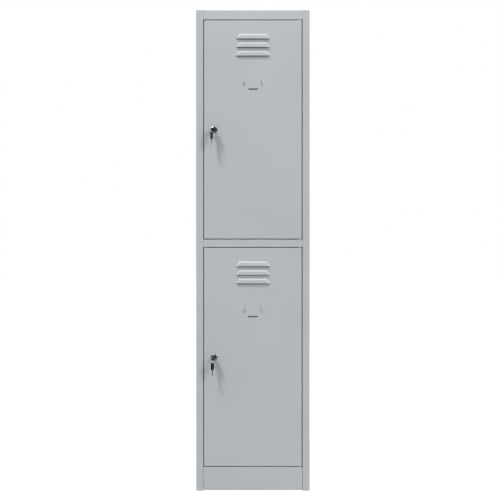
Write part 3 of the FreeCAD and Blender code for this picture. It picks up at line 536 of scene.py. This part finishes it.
def tube_profile(inner, outer, low, high, edge):
    """The closed profile of a tube with softened rims."""
    corners = [(inner, (low + high) / 2), (inner, low), (outer, low), (outer, high), (inner, high),
               (inner, (low + high) / 2)]
    return soften(corners, edge)[:-1]


def coat_rail(tier):
    """A plain tube between its two sockets."""
    node = f"{tier}_coat_rail"
    low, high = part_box(node)
    radius = (high.z - low.z) / 2
    half = (high.x - low.x) / 2
    profile = tube_profile(radius - 1.2 * MM, radius, -half, half, 0.3 * MM)
    mesh = lathe(f"{node}_tube", profile, along((1, 0, 0), middle(node)), closed=True)
    add_piece(f"{node}_tube", mesh, "cabinet", node)


def rail_socket(tier, side, sign):
    """A flanged cup on the side wall; sign is the wall's side of the cabinet."""
    node = f"{tier}_{side}_rail_socket"
    low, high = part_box(node)
    wall = Vector((high.x if sign > 0 else low.x, (low.y + high.y) / 2, (low.z + high.z) / 2))
    profile = scaled([(0, 0), (22, 0), (22, 1.5), (13.5, 1.5), (12, 3), (12, 12), (9.6, 12), (9.6, 1.2), (0, 1.2)])
    mesh = lathe(f"{node}_cup", soften(profile, 0.6 * MM), along((-sign, 0, 0), wall))
    add_piece(f"{node}_cup", mesh, "cabinet", node)


def hinge_pin(name, upward):
    """A pin riveted through the folds, with a collar on their far side."""
    low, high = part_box(name)
    head, length = 1.2, 12.8
    folds = high.z - low.z - (head + length) * MM
    profile = scaled([(0, -head), (3, -head), (3.7, -0.5), (4, 0), (2.5, 0)])
    profile = [(radius, height - folds) for radius, height in profile]
    profile += scaled([(2.5, 0), (4.5, 0), (4.5, 1.9), (2.5, 1.9), (2.5, 12), (1.9, length), (0, length)])
    centre = middle(name)
    seat = low.z + head * MM + folds if upward else high.z - head * MM - folds
    placement = along((0, 0, 1 if upward else -1), Vector((centre.x, centre.y, seat)))
    mesh = lathe(f"{name}_turned", soften(profile, 0.25 * MM, 3), placement, 40)
    add_piece(f"{name}_turned", mesh, "cabinet", name)


def hinge_bush(tier, end):
    """A flanged nylon bush in the door's fold."""
    node = f"{tier}_{end}_bush"
    low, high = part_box(node)
    centre = middle(node)
    seat = high.z - MM if end == "top" else low.z + MM
    profile = scaled([(2.55, -3), (2.55, -6.8), (4, -6.8), (4, 0), (5.5, 0), (5.5, 1), (2.55, 1), (2.55, -3)])
    placement = along((0, 0, 1 if end == "top" else -1), Vector((centre.x, centre.y, seat)))
    mesh = lathe(f"{node}_moulded", soften(profile, 0.25 * MM, 3)[:-1], placement, 40, closed=True)
    add_piece(f"{node}_moulded", mesh, f"{tier}_door", node)


def buffer_pad(tier, end):
    """A domed rubber stop on the door's back fold."""
    node = f"{tier}_{end}_buffer"
    centre = middle(node)
    profile = scaled([(0, 0), (4, 0), (4, 1.2), (3.7, 3.1), (2.4, 4.3), (0, 4.3)])
    placement = along((0, 1, 0), Vector((centre.x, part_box(node)[0].y, centre.z)))
    mesh = lathe(f"{node}_dome", soften(profile, 0.7 * MM), placement, 40)
    add_piece(f"{node}_dome", mesh, f"{tier}_door", node)


def lock_housing(tier):
    """A domed chrome head on a threaded barrel with two flats."""
    node = f"{tier}_lock_housing"
    head = scaled([(6, -1), (6, -2.2), (6.3, -2.6), (6.9, -2.75), (7.2, -3.0), (9.2, -3.0), (10.9, -2.5),
                   (12.1, -1.7), (12.8, -0.9), (13, -0.4), (13, 0), (9, 0)])
    thread = [(8.95, 1.0)]
    thread_start, pitch, turns = 1.4, 1.0, 21
    for turn in range(turns):
        base = thread_start + pitch * turn
        thread += [(8.45, base), (8.45, base + 0.15), (9.0, base + 0.5), (9.0, base + 0.65)]
    thread += [(8.6, 23.0), (8.4, 23.5), (6, 23.5)]
    profile = soften(head, 0.35 * MM, 3) + scaled(thread)
    flat = 8 * MM

    def cut_flats(place):
        if place.z < 0.5 * MM:
            return place
        return Vector((place.x, max(-flat, min(flat, place.y)), place.z))

    placement = along((0, 1, 0), Vector(joints[f"{tier}_lock_turn"]["pos_m"]))
    mesh = lathe(f"{node}_chromed", profile, placement, 96, closed=True, reshape=cut_flats)
    add_piece(f"{node}_chromed", mesh, f"{tier}_door", node)


def lock_nut(tier):
    """A hexagon nut with its corners turned down."""
    node = f"{tier}_lock_nut"
    low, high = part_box(node)
    flats, thick = 23 * MM / 2, high.y - low.y
    levels = [(9.0, 0.5, None), (9.0, 0.06, None), (9.6, 0, None), (11.3, 0, None), (13.6, 0.22, "hex"),
              (13.6, 0.78, "hex"), (11.3, 1, None), (9.6, 1, None), (9.0, 0.94, None)]
    form = bmesh.new()
    rings = []
    for radius, level, shape in levels:
        ring = []
        for turn in full_turn(96):
            reach = radius * MM
            if shape == "hex":
                reach = min(reach, flats / math.cos((turn + math.pi / 6) % (math.pi / 3) - math.pi / 6))
            ring.append(form.verts.new((reach * math.cos(turn), reach * math.sin(turn), level * thick)))
        rings.append(ring)
    join_rings(form, rings, closed=True)
    bmesh.ops.recalc_face_normals(form, faces=form.faces)
    axis = Vector(joints[f"{tier}_lock_turn"]["pos_m"])
    form.transform(along((0, 1, 0), Vector((axis.x, low.y, axis.z))))
    add_piece(f"{node}_hexagon", finished_mesh(f"{node}_hexagon", form), f"{tier}_door", node)


for tier in TIERS:
    coat_rail(tier)
    rail_socket(tier, "left", -1)
    rail_socket(tier, "right", 1)
    for end in ("top", "bottom"):
        hinge_pin(f"{tier}_{end}_pin", upward=end == "bottom")
        hinge_bush(tier, end)
        buffer_pad(tier, end)
    lock_housing(tier)
    lock_nut(tier)


# ---------------------------------------------------------------- keys
# A key is made flat in the XY plane, its ring hole at the origin and its blade towards +Y, in millimetres.

BOW = {"half": 11.95, "far": -6, "near": 21, "corner": 7, "thick": 2.25, "edge": 1.2, "hole": 3.5, "rim": 0.5}
RECESS = {"depth": 0.45, "centre": 10.5, "half": 9.5, "half_length": 8.5}
BLADE = {"half": 3.5, "face": 1.0, "bevel": 0.25, "start": 15, "tip": 42}
GROOVE = {"floor": 0.5, "floor_half": 0.6, "half": 0.9, "upper": 1.2, "lower": 0.6}
BITTING = ((1.2, 4), (2.0, 7), (0.8, 10), (1.6, 13))    # depth of each cut, its distance from the tip
SPARE_TURN = {"upper": 13, "lower": 21}    # degrees that the spare key is turned about the vertical


def bow_reach(turn):
    """Distance from the ring hole's centre to the bow's outline in one direction."""
    across, up = math.cos(turn), math.sin(turn)
    centre = (BOW["near"] + BOW["far"]) / 2
    half_up = (BOW["near"] - BOW["far"]) / 2 - BOW["corner"]
    half_across = BOW["half"] - BOW["corner"]
    reach = BOW["hole"]
    for _ in range(40):
        over_x = max(abs(across * reach) - half_across, 0)
        over_y = max(abs(up * reach - centre) - half_up, 0)
        reach += BOW["corner"] - math.hypot(over_x, over_y) if over_x or over_y else 1.0
    return reach


def bow_section(reach):
    """One face of the bow, from its hole's rounded rim to its rounded outline: (radius, height) pairs."""
    inner, outer = BOW["hole"] + BOW["rim"], reach - BOW["edge"]
    rim_bends = [math.radians(angle) for angle in (0, 30, 60, 90)]
    edge_bends = [math.radians(angle) for angle in (22.5, 45, 67.5, 90)]
    rim = [(inner - BOW["rim"] * math.cos(bend), BOW["thick"] - BOW["rim"] * (1 - math.sin(bend)))
           for bend in rim_bends]
    flat = [(inner + (outer - inner) * step / 9, BOW["thick"]) for step in range(1, 10)]
    edge = [(outer + BOW["edge"] * math.sin(bend), BOW["thick"] - BOW["edge"] * (1 - math.cos(bend)))
            for bend in edge_bends]
    return rim + flat + edge


def bow_mesh(name, placement):
    """The moulded grip: rounded edges, a ring hole and a shallow thumb recess on each face."""
    form = bmesh.new()
    turns = full_turn(96)
    rings = []
    for side in (1, -1):
        face = []
        for level in zip(*(bow_section(bow_reach(turn)) for turn in turns)):
            ring = []
            for turn, (radius, height) in zip(turns, level):
                x, y = radius * math.cos(turn), radius * math.sin(turn)
                off_centre = math.hypot(x / RECESS["half"], (y - RECESS["centre"]) / RECESS["half_length"])
                dish = RECESS["depth"] * ease(1.6 * (1 - off_centre))
                ring.append(form.verts.new((x, y, side * (height - dish))))
            face.append(ring)
        rings += face[::side]
    join_rings(form, rings, closed=True)
    bmesh.ops.recalc_face_normals(form, faces=form.faces)
    form.transform(placement @ Matrix.Scale(MM, 4))
    return finished_mesh(name, form)


def blade_face(left, right, groove):
    """Half of the blade's section, from its left edge to its right, with a groove milled in it."""
    low, high, floor = BLADE["face"] - BLADE["bevel"], BLADE["face"], GROOVE["floor"]
    return [(left, low), (left + BLADE["bevel"], high), (groove - GROOVE["half"], high),
            (groove - GROOVE["floor_half"], floor), (groove + GROOVE["floor_half"], floor),
            (groove + GROOVE["half"], high), (right - BLADE["bevel"], high), (right, low)]


def blade_mesh(name, placement):
    """The steel blade: bitting on one edge, a milled groove in each face, a pointed tip."""
    form = bmesh.new()
    cuts = {BLADE["start"]: (0, 0), BLADE["tip"] - 2: (0, 0), BLADE["tip"]: (2, 2)}
    for depth, back in BITTING:
        for offset, share in ((-1.1, 0), (0, 1), (0.4, 1), (1.5, 0)):
            cuts[BLADE["tip"] - back - offset] = (depth * share, 0)
    sections = []
    for y in sorted(cuts):
        left_cut, right_cut = cuts[y]
        left, right = left_cut - BLADE["half"], BLADE["half"] - right_cut
        outline = blade_face(left, right, GROOVE["upper"])[::-1]
        outline += [(x, -z) for x, z in blade_face(left, right, GROOVE["lower"])]
        sections.append([form.verts.new((min(max(x, left), right), y, z)) for x, z in outline])
    join_rings(form, sections)
    form.faces.new(sections[0])
    form.faces.new(sections[-1])
    bmesh.ops.recalc_face_normals(form, faces=form.faces)
    form.transform(placement @ Matrix.Scale(MM, 4))
    return finished_mesh(name, form)


def split_ring_mesh(name, centre, radius):
    """Two turns of wire side by side, stepping across at the left, where the ring opens."""
    form = bmesh.new()
    wire, steps = 0.42 * MM, 220
    start, stop = math.radians(30), math.radians(690)
    rings = []
    for step in range(steps + 1):
        turn = start + (stop - start) * step / steps
        across = ease((turn - math.radians(330)) / math.radians(60)) * 2 - 1
        angle = turn + math.pi
        outward = Vector((math.cos(angle), 0, math.sin(angle)))
        place = centre + outward * radius + Vector((0, across * wire, 0))
        ring = []
        for bend in full_turn(12):
            offset = outward * math.cos(bend) * wire * 0.95 + Vector((0, math.sin(bend) * wire * 0.98, 0))
            ring.append(form.verts.new(place + offset))
        rings.append(ring)
    join_rings(form, rings)
    form.faces.new(rings[0])
    form.faces.new(rings[-1])
    bmesh.ops.recalc_face_normals(form, faces=form.faces)
    return finished_mesh(name, form)


def keys_and_ring(tier):
    """The key in the lock, the spare key that hangs below it, and the split ring that joins them."""
    lock = joints[f"{tier}_lock_turn"]
    axis = Vector(lock["pos_m"])
    turn = math.radians(-lock["range_deg"][0])
    ring_centre = middle(f"{tier}_key_ring")
    hole = Vector((axis.x, ring_centre.y, axis.z))
    in_lock = Matrix.Translation(hole) @ Matrix.Rotation(-turn, 4, "Y")
    spare_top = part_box(f"{tier}_spare_bow")[1].z
    hung = Vector((ring_centre.x, ring_centre.y, spare_top + BOW["far"] * MM))
    facing = math.radians(90 - SPARE_TURN[tier])
    hanging = Matrix.Translation(hung) @ Matrix.Rotation(facing, 4, "Z") @ Matrix.Rotation(-math.pi / 2, 4, "X")
    for kind, body, placement in (("key", "key", in_lock), ("spare", "spare_key", hanging)):
        bow, blade = f"{tier}_{kind}_bow", f"{tier}_{kind}_blade"
        add_piece(f"{bow}_grip", bow_mesh(f"{bow}_grip", placement), f"{tier}_{body}", bow)
        add_piece(f"{blade}_cut", blade_mesh(f"{blade}_cut", placement), f"{tier}_{body}", blade)
    ring = f"{tier}_key_ring"
    radius = (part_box(ring)[1].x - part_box(ring)[0].x) / 2 - 0.85 * MM
    add_piece(f"{ring}_split", split_ring_mesh(f"{ring}_split", ring_centre, radius), f"{tier}_ring", ring)


for tier in TIERS:
    keys_and_ring(tier)


# ---------------------------------------------------------------- carried-over CAD nodes

for name, node in frame["nodes"].items():
    if not node.hide_render:
        node.data.materials.clear()
        node.data.materials.append(MATERIALS[node_slots[name]])


# ---------------------------------------------------------------- camera, floor and light

CAMERA_DISTANCE = 4.0
VIEW_WIDTH = 1.8725    # what the picture spans at the plane of the front
CAMERA_OFFSET = -0.0108
CAMERA_HEIGHT = 0.902
LIGHT_DISTANCE = 22.0
FLOOR_REACH = 30.0


def add_camera():
    """A camera that looks straight at the front."""
    data = bpy.data.cameras.new("camera")
    data.lens = data.sensor_width * CAMERA_DISTANCE / VIEW_WIDTH
    camera = bpy.data.objects.new("camera", data)
    camera.location = (CAMERA_OFFSET, FRONT - CAMERA_DISTANCE, CAMERA_HEIGHT)
    camera.rotation_euler = (math.pi / 2, 0, 0)
    scene.collection.objects.link(camera)
    scene.camera = camera


def add_softbox(name, direction, strength, softness):
    """A distant round softbox; direction is where its light travels, softness the angle it fills."""
    travel = Vector(direction).normalized()
    data = bpy.data.lights.new(name, "AREA")
    data.shape = "DISK"
    data.size = 2 * LIGHT_DISTANCE * math.tan(math.radians(softness / 2))
    data.energy = strength * math.pi * LIGHT_DISTANCE ** 2
    lamp = bpy.data.objects.new(name, data)
    lamp.location = Vector((0, FRONT, HEIGHT / 2)) - travel * LIGHT_DISTANCE
    lamp.rotation_euler = travel.to_track_quat("-Z", "Y").to_euler()
    lamp.visible_camera = False
    scene.collection.objects.link(lamp)


def add_corner_glow():
    """A small soft light close to the top left corner, which brightens the header and the top of the door."""
    data = bpy.data.lights.new("corner_glow", "AREA")
    data.energy = 0.1
    data.size = 0.2
    lamp = bpy.data.objects.new("corner_glow", data)
    lamp.location = (CABINET_LOW.x - 0.24, FRONT - 0.26, HEIGHT + 0.16)
    aim = Vector((CABINET_LOW.x + 0.05, FRONT, HEIGHT - 0.06)) - lamp.location
    lamp.rotation_euler = aim.to_track_quat("-Z", "Y").to_euler()
    lamp.visible_camera = False
    scene.collection.objects.link(lamp)


def add_floor():
    """A plain pale floor, nearly white to the camera and a calmer grey to bounced light."""
    form = bmesh.new()
    corners = ((-1, -1), (1, -1), (1, 1), (-1, 1))
    form.faces.new([form.verts.new((x * FLOOR_REACH, y * FLOOR_REACH, 0)) for x, y in corners])
    floor = bpy.data.objects.new("floor", finished_mesh("floor", form))
    scene.collection.objects.link(floor)
    material = bpy.data.materials.new("floor")
    material.use_nodes = True
    tree = material.node_tree
    tree.nodes.clear()
    output = tree.nodes.new("ShaderNodeOutputMaterial")
    path = tree.nodes.new("ShaderNodeLightPath")
    choose = tree.nodes.new("ShaderNodeMixShader")
    bounce = tree.nodes.new("ShaderNodeBsdfDiffuse")
    bounce.inputs["Color"].default_value = (0.42, 0.42, 0.42, 1)
    shown = tree.nodes.new("ShaderNodeAddShader")
    pale = tree.nodes.new("ShaderNodeBsdfDiffuse")
    pale.inputs["Color"].default_value = (0.3, 0.3, 0.3, 1)
    glow = tree.nodes.new("ShaderNodeEmission")
    glow.inputs["Strength"].default_value = 0.92
    tree.links.new(pale.outputs["BSDF"], shown.inputs[0])
    tree.links.new(glow.outputs["Emission"], shown.inputs[1])
    tree.links.new(path.outputs["Is Camera Ray"], choose.inputs["Fac"])
    tree.links.new(bounce.outputs["BSDF"], choose.inputs[1])
    tree.links.new(shown.outputs["Shader"], choose.inputs[2])
    tree.links.new(choose.outputs["Shader"], output.inputs["Surface"])
    floor.data.materials.append(material)


def add_world():
    """A white surround; what lights the object is a softer studio, brighter overhead and dim in front."""
    world = bpy.data.worlds.new("studio")
    scene.world = world
    world.use_nodes = True
    tree = world.node_tree
    tree.nodes.clear()
    output = tree.nodes.new("ShaderNodeOutputWorld")
    path = tree.nodes.new("ShaderNodeLightPath")
    choose = tree.nodes.new("ShaderNodeMixShader")
    white = tree.nodes.new("ShaderNodeBackground")
    white.inputs["Color"].default_value = (1, 1, 1, 1)
    studio = tree.nodes.new("ShaderNodeBackground")
    coordinates = tree.nodes.new("ShaderNodeTexCoord")
    parts = tree.nodes.new("ShaderNodeSeparateXYZ")
    tree.links.new(coordinates.outputs["Generated"], parts.inputs["Vector"])
    overhead = spread(tree, parts.outputs["Z"], 0.25, 0.57, 0.0, 0.9)
    in_front = spread(tree, parts.outputs["Y"], 0.05, 1.0, -0.94, -0.72)
    level = tree.nodes.new("ShaderNodeMath")
    level.operation = "MULTIPLY"
    tree.links.new(overhead, level.inputs[0])
    tree.links.new(in_front, level.inputs[1])
    tree.links.new(level.outputs["Value"], studio.inputs["Strength"])
    tree.links.new(path.outputs["Is Camera Ray"], choose.inputs["Fac"])
    tree.links.new(studio.outputs["Background"], choose.inputs[1])
    tree.links.new(white.outputs["Background"], choose.inputs[2])
    tree.links.new(choose.outputs["Shader"], output.inputs["Surface"])


add_camera()
add_floor()
add_world()
add_softbox("key_light", (37, 40, -96), 2.4, 11)
add_softbox("fill_light", (-42, 40, -29), 1.25, 15)
add_corner_glow()
